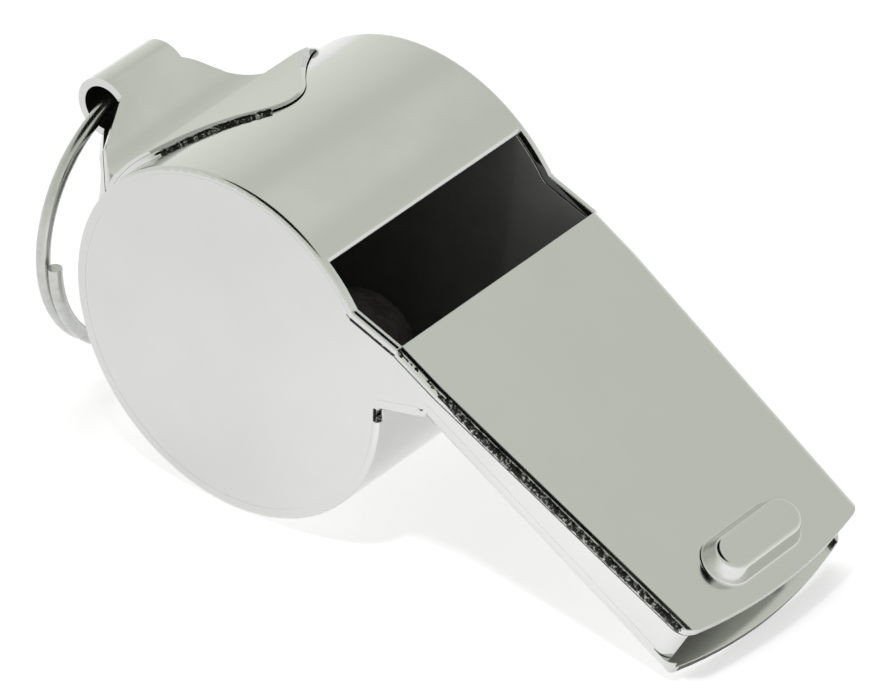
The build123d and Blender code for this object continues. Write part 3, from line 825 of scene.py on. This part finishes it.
class WHISTLE_OT_split_ring(bpy.types.Operator):
    """Winds the split ring that hangs from the lug's eye"""
    bl_idname = "whistle.split_ring"
    bl_label = "Wind the split ring"

    def execute(self, context):
        ring = context.scene.whistle.ring
        radius = (ring.outside - ring.wire) / 2
        pitch = ring.wire + ring.gap
        piece = new_piece("wound_split_ring", bpy.data.meshes.new("wound_split_ring"))
        grow(piece, ring_tree(), {
            "Radius": radius, "Wire Radius": ring.wire / 2, "Turns": ring.turns,
            "Rise": pitch * ring.turns, "Material": drawn_wire(ring),
        })
        # The coil is wound about Z; hung, it winds along -X and its first end is on the right side
        hang = Matrix(((0, 0, -1, 0), (-1, 0, 0, 0), (0, 1, 0, 0), (0, 0, 0, 1)))
        place = Matrix.Translation(EYE + Vector((RING_LEAD * pitch, 0, ring.lift - radius)))
        piece.data.transform(place @ hang)
        piece.data.polygons.foreach_set("use_smooth", [True] * len(piece.data.polygons))
        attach(piece, "ring")
        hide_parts("split_ring")
        return {"FINISHED"}


class WHISTLE_OT_pea(bpy.types.Operator):
    """Makes the cork pea with its grains and pits"""
    bl_idname = "whistle.pea"
    bl_label = "Make the pea"

    def execute(self, context):
        pea = context.scene.whistle.pea
        low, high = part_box("pea")
        middle = (low + high) / 2
        radius = (high.x - low.x) / 2
        pit_edge = 4.0
        sag_waves = 2.0
        shape = bmesh.new()
        bmesh.ops.create_icosphere(shape, subdivisions=6, radius=1.0)
        for vertex in shape.verts:
            way = vertex.co.normalized()
            near, next_near = noise.voronoi(way * radius / pea.grain)[0][:2]
            pit = max(0.0, 1 - (next_near - near) * pit_edge) * pea.pit
            sag = (noise.noise(way * sag_waves) + 1) / 2 * pea.pit
            vertex.co = middle + way * (radius - pit - sag)
        mesh = mesh_of("cork_pea", shape)
        mesh.polygons.foreach_set("use_smooth", [True] * len(mesh.polygons))
        mesh.materials.append(composition_cork(pea))
        piece = new_piece("cork_pea", mesh)
        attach(piece, "loose_pea")
        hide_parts("pea")
        return {"FINISHED"}


def seen_share(tree):
    """One for the lens and for what mirrors or bends the light, and nothing for other rays."""
    rays = add_node(tree, "ShaderNodeLightPath").outputs
    seen = add_node(tree, "ShaderNodeMath", {0: rays["Is Camera Ray"], 1: rays["Is Glossy Ray"]},
                    operation="MAXIMUM")
    seen = add_node(tree, "ShaderNodeMath", {0: seen.outputs["Value"], 1: rays["Is Transmission Ray"]},
                    operation="MAXIMUM")
    return seen.outputs["Value"]


def paper_floor(stage):
    """White paper: matt, lifted for the lens and for what mirrors it, with the shadow kept."""
    made, tree, output = new_material("White paper")
    level = add_node(tree, "ShaderNodeMath", {0: seen_share(tree), 1: stage.paper_glow},
                     operation="MULTIPLY")
    glow = add_node(tree, "ShaderNodeEmission", {"Strength": level.outputs["Value"]})
    matt = add_node(tree, "ShaderNodeBsdfDiffuse", {"Color": stage.paper})
    both = add_node(tree, "ShaderNodeAddShader")
    tree.links.new(glow.outputs["Emission"], both.inputs[0])
    tree.links.new(matt.outputs["BSDF"], both.inputs[1])
    tree.links.new(both.outputs["Shader"], output.inputs["Surface"])
    return made


def tent_cloth(stage):
    """Cloth wall of a light tent, brightest low down, that darkens towards its open top."""
    made, tree, output = new_material("Light tent")
    place = add_node(tree, "ShaderNodeTexCoord").outputs["Object"]
    way = add_node(tree, "ShaderNodeVectorMath", {0: place}, operation="NORMALIZE").outputs["Vector"]
    height = add_node(tree, "ShaderNodeSeparateXYZ", {"Vector": way}).outputs["Z"]
    fall = add_node(tree, "ShaderNodeFloatCurve", {"Value": height})
    curve = fall.mapping.curves[0]
    for at, level in TENT_FALL[1:-1]:
        curve.points.new(at, level)
    curve.points[0].location, curve.points[-1].location = TENT_FALL[0], TENT_FALL[-1]
    fall.mapping.update()
    level = add_node(tree, "ShaderNodeMath", {0: fall.outputs["Value"], 1: stage.tent_level},
                     operation="MULTIPLY")
    cloth = add_node(tree, "ShaderNodeEmission",
                     {"Color": stage.tent, "Strength": level.outputs["Value"]})
    tree.links.new(cloth.outputs["Emission"], output.inputs["Surface"])
    return made


def white_room(stage):
    """World that is white for the lens and for what mirrors it, and a plain level elsewhere."""
    world = bpy.data.worlds.new("White room")
    bpy.context.scene.world = world
    world.use_nodes = True
    tree = world.node_tree
    tree.nodes.clear()
    level = add_node(tree, "ShaderNodeMapRange",
                     {"Value": seen_share(tree), "To Min": stage.room_level, "To Max": 1.0})
    light = add_node(tree, "ShaderNodeBackground",
                     {"Color": linear("#ffffff"), "Strength": level.outputs["Result"]})
    output = add_node(tree, "ShaderNodeOutputWorld")
    tree.links.new(light.outputs["Background"], output.inputs["Surface"])


def hang_lamp(lamp, place, target):
    """Hangs a lamp at a place, turned to a target and left out of reflections."""
    holder = bpy.data.objects.new(lamp.name, lamp)
    holder.location = place
    holder.rotation_euler = (target - holder.location).to_track_quat("-Z", "Y").to_euler()
    holder.visible_glossy = False
    bpy.context.scene.collection.objects.link(holder)


def set_camera(stage):
    """Stands the camera back from the aim, at its turn, height and roll."""
    camera = bpy.data.cameras.new("view")
    camera.sensor_width = SENSOR_WIDTH
    camera.lens = stage.lens
    camera.clip_start = 0.01
    camera.clip_end = 10.0
    level = math.cos(stage.elevation)
    back = Vector((
        math.sin(stage.azimuth) * level, -math.cos(stage.azimuth) * level, math.sin(stage.elevation)
    ))
    view = bpy.data.objects.new("view", camera)
    turn = (-back).to_track_quat("-Z", "Y").to_matrix() @ Matrix.Rotation(stage.roll, 3, "Z")
    view.matrix_world = Matrix.Translation(AIM + back * stage.distance) @ turn.to_4x4()
    bpy.context.scene.collection.objects.link(view)
    bpy.context.scene.camera = view


class WHISTLE_OT_stage(bpy.types.Operator):
    """Sets the paper floor, the light tent, the lamps and the camera"""
    bl_idname = "whistle.stage"
    bl_label = "Set the stage"

    def execute(self, context):
        stage = context.scene.whistle.stage
        sheet = bmesh.new()
        bmesh.ops.create_grid(sheet, x_segments=1, y_segments=1, size=PAPER_HALF)
        mesh = mesh_of("paper_floor", sheet)
        mesh.materials.append(paper_floor(stage))
        floor = new_piece("paper_floor", mesh)
        dome = bmesh.new()
        bmesh.ops.create_uvsphere(dome, u_segments=64, v_segments=32, radius=TENT_RADIUS)
        below = [vertex for vertex in dome.verts if vertex.co.z < TENT_FOOT]
        bmesh.ops.delete(dome, geom=below, context="VERTS")
        mesh = mesh_of("light_tent", dome)
        mesh.materials.append(tent_cloth(stage))
        tent = new_piece("light_tent", mesh)
        tent.visible_camera = False
        tent.visible_diffuse = False
        tent.visible_shadow = False
        lamp = bpy.data.lights.new("soft_lamp", "AREA")
        lamp.energy = stage.lamp_power
        lamp.size = SOFT_LAMP_WIDTH
        hang_lamp(lamp, SOFT_LAMP_PLACE, AIM)
        pool = bpy.data.lights.new("front_lamp", "SPOT")
        pool.energy = stage.pool_power
        pool.spot_size = FRONT_LAMP_CONE
        pool.spot_blend = 1.0
        pool.shadow_soft_size = FRONT_LAMP_RADIUS
        hang_lamp(pool, FRONT_LAMP_PLACE, POOL_MIDDLE)
        white_room(stage)
        set_camera(stage)
        context.scene.view_settings.view_transform = "Standard"
        return {"FINISHED"}


class WHISTLE_PT_panel(bpy.types.Panel):
    """Steps of the whistle in the sidebar"""
    bl_label = "Sports whistle"
    bl_idname = "WHISTLE_PT_panel"
    bl_space_type = "VIEW_3D"
    bl_region_type = "UI"
    bl_category = "Whistle"

    def draw(self, context):
        for step in STEPS:
            self.layout.operator(step.bl_idname)
        for group in ("plate", "solder", "ring", "pea", "stage"):
            box = self.layout.box()
            settings = getattr(context.scene.whistle, group)
            for name in settings.__annotations__:
                box.prop(settings, name)


STEPS = [
    WHISTLE_OT_stage,
    WHISTLE_OT_top_strip,
    WHISTLE_OT_side_plates,
    WHISTLE_OT_mouthpiece_floor,
    WHISTLE_OT_lanyard_lug,
    WHISTLE_OT_solder,
    WHISTLE_OT_split_ring,
    WHISTLE_OT_pea,
]
GROUPS = [WhistlePlate, WhistleSolder, WhistleRing, WhistlePea, WhistleStage, WhistleSettings]
CLASSES = GROUPS + STEPS + [WHISTLE_PT_panel]


def register():
    """Registers the classes and hangs the settings on the scene."""
    for item in CLASSES:
        bpy.utils.register_class(item)
    bpy.types.Scene.whistle = PointerProperty(type=WhistleSettings)


def unregister():
    """Takes the settings and the classes away again."""
    del bpy.types.Scene.whistle
    for item in reversed(CLASSES):
        bpy.utils.unregister_class(item)


def main():
    """Dresses the whistle."""
    register()
    for step in STEPS:
        group, name = step.bl_idname.split(".")
        getattr(getattr(bpy.ops, group), name)()


if __name__ == "__main__":
    main()
